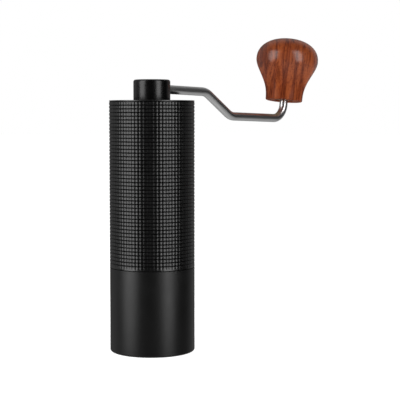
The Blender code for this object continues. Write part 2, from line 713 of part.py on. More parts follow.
def make_knob():
    dome = []
    for i in range(DOME_ROWS):
        swing = math.radians(90.0 * i / DOME_ROWS)
        height = KNOB_MAX_H + (KNOB_H - KNOB_MAX_H) * math.cos(swing)
        dome.append((knob_radius(height), height))
    waist = []
    for i in range(1, WAIST_ROWS):
        height = KNOB_MAX_H * (1.0 - i / WAIST_ROWS)
        waist.append((knob_radius(height), height))
    waist.append((KNOB_BASE_R, 0.8))
    profile = [(0.0, KNOB_H)] + dome[1:] + [(KNOB_MAX_R, KNOB_MAX_H)] + waist
    profile += [(KNOB_BASE_R - 0.25, 0.2), (KNOB_BASE_R - 0.8, 0.0), (KNOB_BORE_R, 0.0),
                (KNOB_BORE_R, KNOB_BORE_H), (0.0, KNOB_BORE_H)]
    knob = turned("knob", profile, "wood", BODY_STEPS)
    bush = turned("knob_bush", ring_profile(BUSH_BORE_R, BUSH_R, *BUSH_H), "brass", PART_STEPS)
    clip = open_ring("knob_circlip", 2.3, 4.9, *KNOB_CLIP_H, 2.4, "steel")
    for piece in (knob, bush, clip, bpy.data.objects["knob_circlip_gap"]):
        piece.matrix_world = knob_matrix() @ piece.matrix_world


def main():
    new_collections()
    make_grip_barrel()
    make_grounds_cup()
    make_cup_seal_ring()
    make_bearing("upper_bearing", UPPER_RACE_Z)
    make_bearing("lower_bearing", LOWER_RACE_Z)
    make_bridges()
    make_drive_shaft()
    make_shaft_fittings()
    make_inner_burr()
    make_burr_ring()
    make_burr_screws()
    make_click_plate()
    make_dial()
    make_lid()
    make_crank_hub()
    make_hub_liner()
    make_hub_fittings()
    make_crank_arm()
    make_knob()


main()
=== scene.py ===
"""Looks of the hand crank coffee grinder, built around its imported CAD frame.

Sizes are in millimetres and MM turns them into metres. Each piece below replaces the CAD
node named beside it with a finer one in the same place.
"""

import json
import math

import bmesh
import bpy
import numpy as np
from mathutils import Matrix, Vector


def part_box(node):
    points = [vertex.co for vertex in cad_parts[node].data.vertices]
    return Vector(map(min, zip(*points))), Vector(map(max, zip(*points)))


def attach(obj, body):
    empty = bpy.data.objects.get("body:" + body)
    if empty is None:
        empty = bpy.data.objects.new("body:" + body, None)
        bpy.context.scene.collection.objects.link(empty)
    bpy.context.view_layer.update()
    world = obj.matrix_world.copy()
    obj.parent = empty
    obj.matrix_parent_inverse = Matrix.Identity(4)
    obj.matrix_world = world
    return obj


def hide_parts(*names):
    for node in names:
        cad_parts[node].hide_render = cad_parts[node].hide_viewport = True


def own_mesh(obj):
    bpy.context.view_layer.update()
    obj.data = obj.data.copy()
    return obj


MM = 0.001

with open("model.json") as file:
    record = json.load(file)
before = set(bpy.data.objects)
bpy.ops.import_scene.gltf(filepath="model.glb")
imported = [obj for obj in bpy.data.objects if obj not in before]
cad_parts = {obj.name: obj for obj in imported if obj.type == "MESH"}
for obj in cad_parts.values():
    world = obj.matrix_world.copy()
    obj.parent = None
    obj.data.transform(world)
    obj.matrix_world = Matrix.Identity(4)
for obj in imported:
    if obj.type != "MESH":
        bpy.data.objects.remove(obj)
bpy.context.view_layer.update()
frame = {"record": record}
BODY_OF = {node: body for body, nodes in frame["record"]["behaviour"]["bodies"].items()
           for node in nodes}


def low_high(node):
    """Lowest and highest corner of a CAD node, in millimetres."""
    low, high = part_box(node)
    return low / MM, high / MM


# ---------------------------------------------------------------- sizes

BODY_R = low_high("grip_barrel")[1].x
BARREL_TOP = low_high("grip_barrel")[1].z
NECK_BOTTOM = low_high("grip_barrel")[0].z
CUP_TOP = low_high("grounds_cup")[1].z
SHOULDER = CUP_TOP + 0.3
NECK_R = 23.4
NECK_BORE_R = 21.8
HOPPER_R = 23.8
LOWER_STEP = 62.0
UPPER_STEP = 130.7
UPPER_BORE_R = 24.3
MOUTH_R = 24.9
MOUTH_Z = 150.9
CUP_CAVITY_R = 22.2
CUP_FLOOR = 3.0
CUP_LEDGE = 41.0
THREAD_PITCH = 3.0
THREAD_DEPTH = 0.75

KNURL_COLUMNS = 72
KNURL_ROWS = 46
RING_GROOVE = 0.30          # depth of the grooves that run around
LINE_GROOVE = 0.12          # and of those that run up and down
PLAIN_BAND = 0.75           # plain rim above and below the knurl
# along one pitch of the knurl: where the wall stands and how deep the groove is there
KNURL_STEPS = ((0.0, 1.0), (0.10, 1.0), (0.24, 0.0), (0.86, 0.0))

LID_HOLE_R = 8.0
HUB_R = 11.25
HUB_FOOT = 153.5
STEM_R = 7.7
DRIVE_FLAT = 3.45
BURR_FLAT = 3.3
SCREW_PITCH_R = 19.3

# the crank arm: runs and bends of a round rod in the plane y = 0
ROD_R = 2.75
ROD_START_X = -4.5
ROD_HEIGHT = 160.7
ROD_DROOP = math.radians(1.7)
LEAN = math.radians(6.8)
BEND = math.radians(32.4)
BEND_R = 11.8
END_BEND_R = 10.2
INNER_RUN = 43.1
SLOPE_RUN = 20.8
OUTER_RUN = 38.7
STEM_TO_KNOB = 2.7
STEM_IN_KNOB = 27.0
CLIP_GROOVE_R = 2.1         # the groove of the knob's clip near the rod's end
CLIP_GROOVE_Z = 23.75
CLIP_GROOVE_WIDTH = 1.3
ROD_CHAMFER = 0.35

KNOB_BASE_R = 12.5
KNOB_MAX_R = 21.0
KNOB_MAX_H = 27.8
KNOB_H = 42.4
GRAIN_TURN = math.radians(-45.0)

SPRING_TOP = 68.0           # the burr's spring
SPRING_FOOT = 53.4
CLICK_R = 9.0               # from the axis to the click ball and its dimples
CLICK_COUNT = 12
CLICK_BALL_R = 1.0
CLICK_BALL_Z = 40.2


# ---------------------------------------------------------------- mesh helpers

SHARP = 35.0                # an edge that bends by more, in degrees, stays sharp


def ring(inner, outer, low, high):
    """Outline of a plain ring."""
    return [(outer, high), (outer, low), (inner, low), (inner, high)]


def rounded(outline, radius, steps=3, closed=True):
    """The outline with each corner off the axis turned into a small arc."""
    result = []
    count = len(outline)
    for i, point in enumerate(outline):
        here = Vector(point)
        before = Vector(outline[i - 1])
        after = Vector(outline[(i + 1) % count])
        at_end = not closed and i in (0, count - 1)
        if at_end or here.x < 0.001:
            result.append(tuple(here))
            continue
        to_before = before - here
        to_after = after - here
        cut = min(radius, 0.45 * to_before.length, 0.45 * to_after.length)
        straight = abs(to_before.normalized().dot(to_after.normalized())) > 0.98
        if cut < 0.01 or straight:
            result.append(tuple(here))
            continue
        start = here + to_before.normalized() * cut
        end = here + to_after.normalized() * cut
        for k in range(steps + 1):
            t = k / steps
            spot = start * (1 - t) ** 2 + here * 2 * t * (1 - t) + end * t * t
            result.append(tuple(spot))
    return result


def new_object(name, mesh, material, node=None, place=None):
    """Link a piece, let it stand for a CAD node and ride on that node's body."""
    made = bpy.data.objects.new(name, mesh)
    bpy.context.scene.collection.objects.link(made)
    mesh.materials.append(material)
    if place:
        made.matrix_world = place
    if node:
        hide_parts(node)
        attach(made, BODY_OF[node])
    return made


def piece(name, node, outline, material, columns, place=None):
    """A piece turned from its outline."""
    return new_object(name, revolve_mesh(name, outline, columns), material, node, place)


def revolve_mesh(name, outline, columns, shift=None, sharp=SHARP):
    """Turn an outline of (radius, height), given down its outer side, around Z.

    shift(angles, radius, height) may add to the radius of a row, as for a thread.
    """
    angles = np.arange(columns) * 2.0 * math.pi / columns
    shape = bmesh.new()
    rows = []
    for radius, height in outline:
        if radius < 0.001:
            rows.append([shape.verts.new((0.0, 0.0, height * MM))])
            continue
        reach = np.full(columns, radius)
        if shift:
            reach = reach + shift(angles, radius, height)
        xs = reach * np.cos(angles) * MM
        ys = reach * np.sin(angles) * MM
        rows.append([shape.verts.new((x, y, height * MM)) for x, y in zip(xs, ys)])
    for j, row in enumerate(rows):
        below = rows[(j + 1) % len(rows)]
        for i in range(columns):
            k = (i + 1) % columns
            corners = [row[i % len(row)], below[i % len(below)],
                       below[k % len(below)], row[k % len(row)]]
            corners = list(dict.fromkeys(corners))
            if len(corners) > 2:
                shape.faces.new(corners)
    bmesh.ops.recalc_face_normals(shape, faces=shape.faces)
    return to_mesh(shape, name, sharp)


def shade(mesh, sharp=SHARP):
    """Smooth, but for the edges that bend by more than an angle in degrees."""
    mesh.shade_smooth()
    mesh.set_sharp_from_angle(angle=math.radians(sharp))


def to_mesh(shape, name="cutter", sharp=None):
    mesh = bpy.data.meshes.new(name)
    shape.to_mesh(mesh)
    shape.free()
    if sharp:
        shade(mesh, sharp)
    return mesh


def skin(shape, rows):
    """Faces between the rings of vertices of a swept tube, and over its ends."""
    for row, after in zip(rows, rows[1:]):
        for k in range(len(row)):
            j = (k + 1) % len(row)
            shape.faces.new((row[k], row[j], after[j], after[k]))
    shape.faces.new(list(reversed(rows[0])))
    shape.faces.new(rows[-1])
    bmesh.ops.recalc_face_normals(shape, faces=shape.faces)


def cylinder_mesh(radius, length, centre, direction=(0, 0, 1), sides=48):
    """A capped cylinder for cutting, about its centre and along a direction."""
    shape = bmesh.new()
    bmesh.ops.create_cone(shape, cap_ends=True, segments=sides, radius1=radius * MM,
                          radius2=radius * MM, depth=length * MM)
    place = (Matrix.Translation(Vector(centre) * MM)
             @ Vector(direction).to_track_quat("Z", "Y").to_matrix().to_4x4())
    bmesh.ops.transform(shape, matrix=place, verts=shape.verts)
    return to_mesh(shape)


def box_mesh(size, centre, turn=0.0):
    """A box for cutting, turned around Z."""
    shape = bmesh.new()
    bmesh.ops.create_cube(shape, size=1.0)
    place = (Matrix.Translation(Vector(centre) * MM) @ Matrix.Rotation(turn, 4, "Z")
             @ Matrix.Diagonal((*(Vector(size) * MM), 1.0)))
    bmesh.ops.transform(shape, matrix=place, verts=shape.verts)
    return to_mesh(shape)


def sphere_mesh(radius, centre, columns, rows):
    shape = bmesh.new()
    bmesh.ops.create_uvsphere(shape, u_segments=columns, v_segments=rows, radius=radius * MM,
                              matrix=Matrix.Translation(Vector(centre) * MM))
    return to_mesh(shape)


def combine(mesh, tools, operation="DIFFERENCE", sharp=SHARP):
    """Apply Booleans with each of the tools to a mesh, and return the new mesh."""
    base = bpy.data.objects.new("base", mesh)
    bpy.context.scene.collection.objects.link(base)
    helpers = []
    for tool in tools:
        helper = bpy.data.objects.new("helper", tool)
        bpy.context.scene.collection.objects.link(helper)
        helpers.append(helper)
        modifier = base.modifiers.new("combine", "BOOLEAN")
        modifier.operation = operation
        modifier.solver = "EXACT"
        modifier.object = helper
    graph = bpy.context.evaluated_depsgraph_get()
    result = bpy.data.meshes.new_from_object(base.evaluated_get(graph))
    result.name = mesh.name
    for extra in [base] + helpers:
        bpy.data.objects.remove(extra, do_unlink=True)
    result.materials.clear()
    shade(result, sharp)
    return result


def polar(radius, angle, height):
    return (radius * math.cos(angle), radius * math.sin(angle), height)


# ---------------------------------------------------------------- material helpers

# the colour sockets of a Mix node
MIX_FACTOR, MIX_A, MIX_B, MIX_RESULT = 0, 6, 7, 2


def set_stops(ramp, stops):
    """Give a colour ramp its (position, colour) stops."""
    elements = ramp.color_ramp.elements
    while len(elements) < len(stops):
        elements.new(0.5)
    for element, (position, colour) in zip(elements, stops):
        element.position = position
        element.color = (*colour, 1.0)


class Nodes:
    """A Principled material with short names for adding and linking its nodes."""

    def __init__(self, name, colour=(0.5, 0.5, 0.5), roughness=0.5, metallic=0.0, **sockets):
        self.material = bpy.data.materials.new(name)
        self.material.use_nodes = True
        self.tree = self.material.node_tree
        self.shader = self.tree.nodes["Principled BSDF"]
        self.set("Base Color", (*colour, 1.0))
        self.set("Roughness", roughness)
        self.set("Metallic", metallic)
        for socket, value in sockets.items():
            self.set(socket.replace("_", " "), value)

    def set(self, socket, value):
        self.shader.inputs[socket].default_value = value

    def add(self, kind, **settings):
        node = self.tree.nodes.new("ShaderNode" + kind)
        for key, value in settings.items():
            setattr(node, key, value)
        return node

    def link(self, output, target):
        self.tree.links.new(output, target)

    def coordinates(self, scale=(1.0, 1.0, 1.0), turn=0.0):
        """Place on the piece in metres, turned around Z and then stretched by scale."""
        source = self.add("TexCoord")
        mapping = self.add("Mapping", vector_type="TEXTURE")
        mapping.inputs["Rotation"].default_value = (0.0, 0.0, turn)
        mapping.inputs["Scale"].default_value = [1.0 / part for part in scale]
        self.link(source.outputs["Object"], mapping.inputs["Vector"])
        return mapping.outputs["Vector"]

    def noise(self, vector, scale, detail=2.0, distortion=0.0):
        node = self.add("TexNoise")
        node.inputs["Scale"].default_value = scale
        node.inputs["Detail"].default_value = detail
        node.inputs["Distortion"].default_value = distortion
        self.link(vector, node.inputs["Vector"])
        return node.outputs["Fac"]

    def ramp(self, factor, stops):
        node = self.add("ValToRGB")
        set_stops(node, stops)
        self.link(factor, node.inputs["Fac"])
        return node.outputs["Color"]

    def map(self, factor, low, high, start=0.0, end=1.0):
        """Low where the factor is at start, high where it is at end."""
        node = self.add("MapRange")
        node.inputs["From Min"].default_value = start
        node.inputs["From Max"].default_value = end
        node.inputs["To Min"].default_value = low
        node.inputs["To Max"].default_value = high
        self.link(factor, node.inputs["Value"])
        return node.outputs["Result"]

    def bump(self, height, distance, strength=1.0, after=None):
        node = self.add("Bump")
        node.inputs["Strength"].default_value = strength
        node.inputs["Distance"].default_value = distance
        self.link(height, node.inputs["Height"])
        if after:
            self.link(after, node.inputs["Normal"])
        return node.outputs["Normal"]

    def finish(self, normal=None, roughness=None, colour=None, coat_normal=None):
        if normal:
            self.link(normal, self.shader.inputs["Normal"])
        if roughness:
            self.link(roughness, self.shader.inputs["Roughness"])
        if colour:
            self.link(colour, self.shader.inputs["Base Color"])
        if coat_normal:
            self.link(coat_normal, self.shader.inputs["Coat Normal"])
        return self.material


def grey(value):
    return (value, value, value)


def anodised(name, roughness, shine, shaded_grooves=False):
    """Black anodised aluminium, with the fine grain of a blasted surface."""
    dark = 0.0005
    m = Nodes(name, grey(dark), roughness, IOR=1.5)
    place = m.coordinates()
    fine = m.noise(place, 5200.0, 2.0)
    broad = m.noise(place, 90.0, 4.0)
    normal = m.bump(fine, 0.004 * MM)
    worn = m.map(broad, roughness - 0.05, roughness + 0.05)
    colour = m.ramp(broad, [(0.3, grey(0.8 * dark)), (0.7, grey(1.2 * dark))])
    m.set("Specular IOR Level", shine)
    if shaded_grooves:
        # painted shade: the shine is turned down in the grooves so that they read dark, as if
        # shaded by their own walls
        depth = m.add("Attribute", attribute_name="groove")
        shine = m.map(depth.outputs["Fac"], shine, 0.16 * shine)
        m.link(shine, m.shader.inputs["Specular IOR Level"])
    return m.finish(normal, worn, colour)


def satin_plastic(name, roughness):
    m = Nodes(name, grey(0.0002), roughness, IOR=1.45)
    place = m.coordinates()
    fine = m.noise(place, 7000.0, 1.0)
    broad = m.noise(place, 160.0, 3.0)
    normal = m.bump(fine, 0.004 * MM)
    return m.finish(normal, m.map(broad, roughness - 0.04, roughness + 0.05))


def turned_metal(name, value, roughness, pitch=0.18, tint=(1.0, 1.0, 1.0)):
    """Metal cut on a lathe: fine rings at one pitch along and across its axis."""
    colour = tuple(value * part for part in tint)
    m = Nodes(name, colour, roughness, 1.0)
    source = m.add("TexCoord")
    split = m.add("SeparateXYZ")
    m.link(source.outputs["Object"], split.inputs["Vector"])
    flat = m.add("CombineXYZ")
    m.link(split.outputs["X"], flat.inputs["X"])
    m.link(split.outputs["Y"], flat.inputs["Y"])
    reach = m.add("VectorMath", operation="LENGTH")
    m.link(flat.outputs["Vector"], reach.inputs[0])
    ringed = m.add("CombineXYZ")
    m.link(reach.outputs["Value"], ringed.inputs["X"])
    m.link(split.outputs["Z"], ringed.inputs["Y"])
    rings = m.noise(ringed.outputs["Vector"], 1.0 / (pitch * MM), 2.0)
    smudges = m.noise(source.outputs["Object"], 180.0, 4.0)
    normal = m.bump(rings, 0.006 * MM)
    shades = m.ramp(smudges, [(0.3, tuple(0.86 * c for c in colour)), (0.7, colour)])
    return m.finish(normal, m.map(smudges, roughness - 0.06, roughness + 0.08), shades)


def cast_metal(name, value, roughness):
    m = Nodes(name, grey(value), roughness, 1.0)
    place = m.coordinates()
    grains = m.noise(place, 1400.0, 5.0)
    stains = m.noise(place, 130.0, 4.0)
    normal = m.bump(grains, 0.05 * MM, 0.7)
    shades = m.ramp(stains, [(0.25, grey(0.72 * value)), (0.75, grey(value))])
    return m.finish(normal, m.map(stains, roughness - 0.08, roughness + 0.1), shades)


def rubber(name):
    m = Nodes(name, grey(0.018), 0.7)
    place = m.coordinates()
    fine = m.noise(place, 2600.0, 4.0)
    return m.finish(m.bump(fine, 0.02 * MM), m.map(fine, 0.6, 0.8))


def rod_steel(name):
    """Drawn steel rod, brushed along its length; its UV maps say where on the rod."""
    m = Nodes(name, grey(0.64), 0.24, 1.0)
    around = m.add("UVMap")
    around.uv_map = "around"
    along = m.add("UVMap")
    along.uv_map = "along"
    ring_place = m.add("SeparateXYZ")
    m.link(around.outputs["UV"], ring_place.inputs["Vector"])
    length_place = m.add("SeparateXYZ")
    m.link(along.outputs["UV"], length_place.inputs["Vector"])
    place = m.add("CombineXYZ")
    m.link(ring_place.outputs["X"], place.inputs["X"])
    m.link(ring_place.outputs["Y"], place.inputs["Y"])
    m.link(length_place.outputs["X"], place.inputs["Z"])
    lines = m.noise(place.outputs["Vector"], 7.0, 5.0)
    smudges = m.noise(place.outputs["Vector"], 2.2, 3.0)
    normal = m.bump(lines, 0.03 * MM, 0.8)
    shades = m.ramp(lines, [(0.30, grey(0.48)), (0.52, grey(0.64)), (0.75, grey(0.76))])
    return m.finish(normal, m.map(smudges, 0.22, 0.36), shades)


def rosewood(name):
    """Lacquered dark red-brown wood whose grain runs along the knob's own axis."""
    m = Nodes(name, (0.2, 0.06, 0.025), 0.42, Coat_Roughness=0.25, Coat_IOR=1.5)
    m.set("Specular IOR Level", 0.04)

    # the layers of the wood stand upright, at an angle to the crank arm
    def layers(across, depth, along):
        return m.coordinates((across, depth, along), GRAIN_TURN)

    bands = m.noise(layers(1.0, 0.2, 0.045), 210.0, 2.0, 0.4)
    streaks = m.noise(layers(1.0, 0.35, 0.04), 620.0, 5.0, 0.3)
    pores = m.noise(layers(1.0, 1.0, 0.028), 2100.0, 2.0)
    clouds = m.noise(m.coordinates((1.0, 1.0, 0.5)), 50.0, 2.0)

    ground = m.ramp(bands, [
        (0.30, (0.235, 0.054, 0.013)), (0.44, (0.195, 0.040, 0.010)),
        (0.51, (0.105, 0.018, 0.004)), (0.57, (0.200, 0.043, 0.010)),
        (0.75, (0.245, 0.058, 0.015))])
    dark = m.ramp(streaks, [(0.36, (0.50, 0.40, 0.36)), (0.52, (1.0, 1.0, 1.0))])
    tone = m.ramp(clouds, [(0.3, (0.86, 0.82, 0.80)), (0.7, (1.0, 1.0, 1.0))])
    fleck = m.ramp(pores, [(0.38, (0.55, 0.45, 0.42)), (0.47, (1.0, 1.0, 1.0))])
    colour = ground
    for factor in (dark, tone, fleck):
        mix = m.add("Mix", data_type="RGBA", blend_type="MULTIPLY")
        mix.inputs[MIX_FACTOR].default_value = 0.85
        m.link(colour, mix.inputs[MIX_A])
        m.link(factor, mix.inputs[MIX_B])
        colour = mix.outputs[MIX_RESULT]
    normal = m.bump(pores, 0.03 * MM, 0.35)
    lacquer = m.bump(clouds, 0.12 * MM, 0.3)
    # the lacquer has lost its shine around the foot, where the fingers hold the knob
    height = m.add("SeparateXYZ")
    m.link(m.add("TexCoord").outputs["Object"], height.inputs["Vector"])
    shine = m.map(height.outputs["Z"], 0.08, 0.85, 8.0 * MM, 24.0 * MM)
    m.link(shine, m.shader.inputs["Coat Weight"])
    return m.finish(normal, None, colour, lacquer)


# ---------------------------------------------------------------- body

def knurl(angles, radius, height):
    """How far the knurled wall is cut back at one height."""
    if radius < BODY_R - 0.05 or not KNURL_LOW < height < KNURL_HIGH:
        return np.zeros(len(angles))
    around = np.arange(len(angles)) % len(KNURL_STEPS)
    across = np.array([step[1] for step in KNURL_STEPS])[around]
    return -LINE_GROOVE * across - RING_GROOVE * knurl_depth_along(height)


KNURL_HIGH = BARREL_TOP - PLAIN_BAND
KNURL_LOW = SHOULDER + PLAIN_BAND
KNURL_PITCH = (KNURL_HIGH - KNURL_LOW) / KNURL_ROWS


def knurl_depth_along(height):
    """How deep the ring grooves are at a height, from 0 to 1."""
    place = ((KNURL_HIGH - height) / KNURL_PITCH + 1e-6) % 1.0
    return min(KNURL_STEPS, key=lambda step: abs(step[0] - place))[1]


def thread(angles, height, side):
    """A rounded thread cut to one side of the wall: its shift at each angle."""
    phase = (height / THREAD_PITCH + angles / (2.0 * math.pi)) % 1.0
    wave = np.clip(0.5 + 0.95 * np.cos(2.0 * math.pi * phase), 0.0, 1.0)
    return side * THREAD_DEPTH * (1.0 - wave)


def barrel_shift(angles, radius, height):
    if abs(radius - NECK_R) < 0.01 and NECK_BOTTOM + 1.0 < height < SHOULDER - 1.0:
        return thread(angles, height, -1.0)
    return knurl(angles, radius, height)


def rows_between(radius, high, low, step):
    """Outline points down a straight wall, about one step apart."""
    count = max(2, round((high - low) / step))
    return [(radius, high + (low - high) * i / count) for i in range(count + 1)]


def make_grip_barrel():
    edge = 0.35
    outline = [(MOUTH_R + 0.15, BARREL_TOP), (BODY_R - edge, BARREL_TOP),
               (BODY_R - 0.1, BARREL_TOP - 0.1), (BODY_R, BARREL_TOP - edge),
               (BODY_R, KNURL_HIGH + 0.05)]
    for row in range(KNURL_ROWS):
        for place, _ in KNURL_STEPS:
            outline.append((BODY_R, KNURL_HIGH - (row + place) * KNURL_PITCH - 1e-5))
    outline += [(BODY_R, KNURL_LOW - 0.05), (BODY_R, SHOULDER + 0.15),
                (BODY_R - 0.15, SHOULDER), (NECK_R + 0.1, SHOULDER)]
    outline += rows_between(NECK_R, SHOULDER - 0.1, NECK_BOTTOM + 0.4, 0.22)
    outline += [(NECK_R - 0.4, NECK_BOTTOM), (NECK_BORE_R + 0.2, NECK_BOTTOM),
                (NECK_BORE_R, NECK_BOTTOM + 0.2), (NECK_BORE_R, LOWER_STEP),
                (HOPPER_R, LOWER_STEP), (HOPPER_R, UPPER_STEP), (UPPER_BORE_R, UPPER_STEP),
                (UPPER_BORE_R, MOUTH_Z), (MOUTH_R, MOUTH_Z), (MOUTH_R, BARREL_TOP - 0.15)]
    mesh = uneven_revolve("barrel_shell", outline, barrel_shift)
    black = anodised("anodised_knurled", 0.32, 0.60, shaded_grooves=True)
    new_object("barrel_shell", mesh, black, "grip_barrel")


def uneven_revolve(name, outline, shift):
    """Like revolve_mesh, with its columns on the steps of the knurl."""
    angles = np.array([(i + place) * 2.0 * math.pi / KNURL_COLUMNS
                       for i in range(KNURL_COLUMNS) for place, _ in KNURL_STEPS])
    columns = len(angles)
    rows = len(outline)
    points = np.zeros((rows, columns, 3))
    depth = np.zeros((rows, columns))
    for j, (radius, height) in enumerate(outline):
        reach = radius + shift(angles, radius, height)
        if radius == BODY_R:
            depth[j] = np.clip((radius - reach.max()) / RING_GROOVE, 0.0, 1.0)
        points[j, :, 0] = reach * np.cos(angles)
        points[j, :, 1] = reach * np.sin(angles)
        points[j, :, 2] = height
    index = np.arange(rows * columns).reshape(rows, columns)
    below = np.roll(index, -1, axis=0)
    faces = np.stack([index, below, np.roll(below, -1, axis=1), np.roll(index, -1, axis=1)],
                     axis=-1).reshape(-1, 4)
    mesh = bpy.data.meshes.new(name)
    mesh.from_pydata((points.reshape(-1, 3) * MM).tolist(), [], faces.tolist())
    mesh.update()
    # the ring grooves' depth, from 0 to 1, is the mask of the painted shade in the knurl's
    # grooves
    groove = mesh.attributes.new("groove", "FLOAT", "POINT")
    groove.data.foreach_set("value", depth.reshape(-1))
    shade(mesh, 28.0)
    return mesh


def make_grounds_cup():
    mouth = NECK_R + 0.3

    def shift(angles, radius, height):
        if abs(radius - mouth) < 0.01 and CUP_LEDGE + 1.4 < height < CUP_TOP - 1.2:
            return thread(angles, height, 0.8)
        return np.zeros(len(angles))

    outline = rounded([(mouth + 0.3, CUP_TOP), (BODY_R, CUP_TOP), (BODY_R, 0.0)], 0.18,
                      closed=False)[:-1]
    corner = 1.1
    outline += [(BODY_R - corner + corner * math.cos(a), corner + corner * math.sin(a))
                for a in np.radians(np.linspace(0.0, -90.0, 9))]
    outline += [(0.0, 0.0), (0.0, CUP_FLOOR)]
    floor_round = 2.5
    outline += [(CUP_CAVITY_R - floor_round + floor_round * math.cos(a),
                 CUP_FLOOR + floor_round + floor_round * math.sin(a))
                for a in np.radians(np.linspace(-90.0, 0.0, 7))]
    outline += [(CUP_CAVITY_R, CUP_LEDGE), (mouth, CUP_LEDGE)]
    outline += list(reversed(rows_between(mouth, CUP_TOP - 0.3, CUP_LEDGE + 0.3, 0.24)))
    mesh = revolve_mesh("cup_shell", outline, 192, shift)
    new_object("cup_shell", mesh, anodised("anodised_blasted", 0.42, 0.40), "grounds_cup")


# ---------------------------------------------------------------- lid and hub

def make_lid():
    lid = [(LID_HOLE_R, 153.2), (24.6, 153.2), (24.6, 151.2), (23.7, 151.2), (23.7, 149.4),
           (22.3, 149.4), (22.3, 146.4), (23.7, 146.4), (23.7, 144.5), (23.2, 144.0),
           (20.8, 144.0), (20.8, 151.2), (LID_HOLE_R, 151.2)]
    plastic = satin_plastic("lid_plastic", 0.38)
    piece("lid_cover", "hopper_lid", rounded(lid, 0.25), plastic, 192)
    seal = [(22.6, 149.1), (23.5, 149.1), (24.0, 148.6), (24.0, 147.2), (23.5, 146.7),
            (22.6, 146.7)]
    piece("lid_seal", "lid_seal_ring", rounded(seal, 0.35), rubber("seal_rubber"), 160)
    ledge_seal = ring(22.4, NECK_R, 41.3, 43.2)
    piece("cup_seal", "cup_seal_ring", rounded(ledge_seal, 0.35), rubber("cup_rubber"), 160)


def make_hub():
    low, high = low_high("crank_hub")[0].z, low_high("crank_hub")[1].z
    edge = 1.4
    outline = [(0.0, high)]
    outline += [(HUB_R - edge + edge * math.cos(a), high - edge + edge * math.sin(a))
                for a in np.radians(np.linspace(90.0, 0.0, 10))]
    outline += rounded([(HUB_R, high - edge - 0.5), (HUB_R, HUB_FOOT), (STEM_R, HUB_FOOT),
                        (STEM_R, 151.1), (6.6, 151.1), (6.6, 149.6), (STEM_R, 149.6),
                        (STEM_R, low)], 0.3, closed=False)
    outline += [(STEM_R - 0.3, low), (0.0, low)]
    mesh = revolve_mesh("hub_body", outline, 144)
    along = Vector((math.cos(ROD_DROOP), 0.0, -math.sin(ROD_DROOP)))
    start = Vector((ROD_START_X - 0.3, 0.0, ROD_HEIGHT - ROD_START_X * math.tan(ROD_DROOP)))
    tools = [cylinder_mesh(5.9, 19.6, (0, 0, 146.8), sides=72),
             cylinder_mesh(ROD_R + 0.3, 20.0, start + along * 10.0, along, sides=64),
             cylinder_mesh(1.6, 5.0, (9.4, 0, 155.4))]
    mesh = combine(mesh, tools)
    new_object("hub_body", mesh, satin_plastic("hub_plastic", 0.27), "crank_hub")

    steel = turned_metal("liner_steel", 0.42, 0.32)
    outline = rounded([(0.0, 156.3), (5.6, 156.3), (5.6, 147.7), (0.0, 147.7)], 0.3)
    socket = cylinder_mesh(3.75 / math.cos(math.pi / 6.0), 20.0, (0, 0, 144.0), sides=6)
    mesh = combine(revolve_mesh("hub_insert", outline, 96), [socket])
    new_object("hub_insert", mesh, steel, "hub_liner")

    spring_steel = turned_metal("ring_steel", 0.30, 0.34)
    snap_ring("hub_snap_ring", "hub_retaining_ring", 6.9, 9.8, 149.9, 150.9, 5.0, spring_steel)
    outline = rounded([(0.0, 157.2), (0.9, 157.2), (1.3, 156.6), (1.3, 153.9), (0.0, 153.9)],
                      0.12)
    mesh = revolve_mesh("rod_set_screw", outline, 48)
    mesh = combine(mesh, [cylinder_mesh(0.75, 2.4, (0, 0, 153.9), sides=6)])
    mesh.transform(Matrix.Translation((9.4 * MM, 0.0, 0.0)))
    new_object("rod_set_screw", mesh, turned_metal("screw_black", 0.08, 0.4), "arm_set_screw")


def snap_ring(name, node, inner, outer, low, high, opening, material, place=None):
    """A flat spring ring, open towards +X, with a plier hole in each of its two ears."""
    mesh = revolve_mesh(name, rounded(ring(inner, outer, low, high), 0.12), 120)
    middle = (low + high) / 2.0
    tools = [box_mesh((outer + 1.0, opening, 6.0), ((outer + 1.0) / 2.0, 0.0, middle))]
    pitch = (inner + outer) / 2.0
    for side in (1, -1):
        angle = side * math.asin((opening / 2.0 + 0.32 * (outer - inner)) / pitch)
        tools.append(cylinder_mesh(0.15 * (outer - inner), 6.0, polar(pitch, angle, middle),
                                   sides=24))
    new_object(name, combine(mesh, tools), material, node, place)


# ---------------------------------------------------------------- crank arm and knob

def rod_path():
    """(x, z, heading) along the rod's centreline, in fine steps."""
    heading = -ROD_DROOP
    x = ROD_START_X
    z = ROD_HEIGHT - x * math.tan(ROD_DROOP)
    path = [(x, z, heading)]

    def go(length, turn=0.0, steps=1):
        nonlocal x, z, heading
        for _ in range(steps):
            heading += turn / steps / 2.0
            x += length / steps * math.cos(heading)
            z += length / steps * math.sin(heading)
            heading += turn / steps / 2.0
            path.append((x, z, heading))

    go(INNER_RUN - ROD_START_X, steps=24)
    go(BEND * BEND_R, -BEND, 16)
    go(SLOPE_RUN, steps=12)
    go(BEND * BEND_R, BEND, 16)
    go(OUTER_RUN, steps=20)
    last_turn = math.pi / 2.0 - LEAN + ROD_DROOP
    go(last_turn * END_BEND_R, last_turn, 32)
    foot = (x + STEM_TO_KNOB * math.cos(heading), z + STEM_TO_KNOB * math.sin(heading))
    go(STEM_TO_KNOB, steps=2)
    # a step of no length lets the radius jump at each side of the clip's groove
    go(CLIP_GROOVE_Z)
    go(0.0)
    go(CLIP_GROOVE_WIDTH)
    go(0.0)
    go(STEM_IN_KNOB - CLIP_GROOVE_Z - CLIP_GROOVE_WIDTH)
    return path, foot


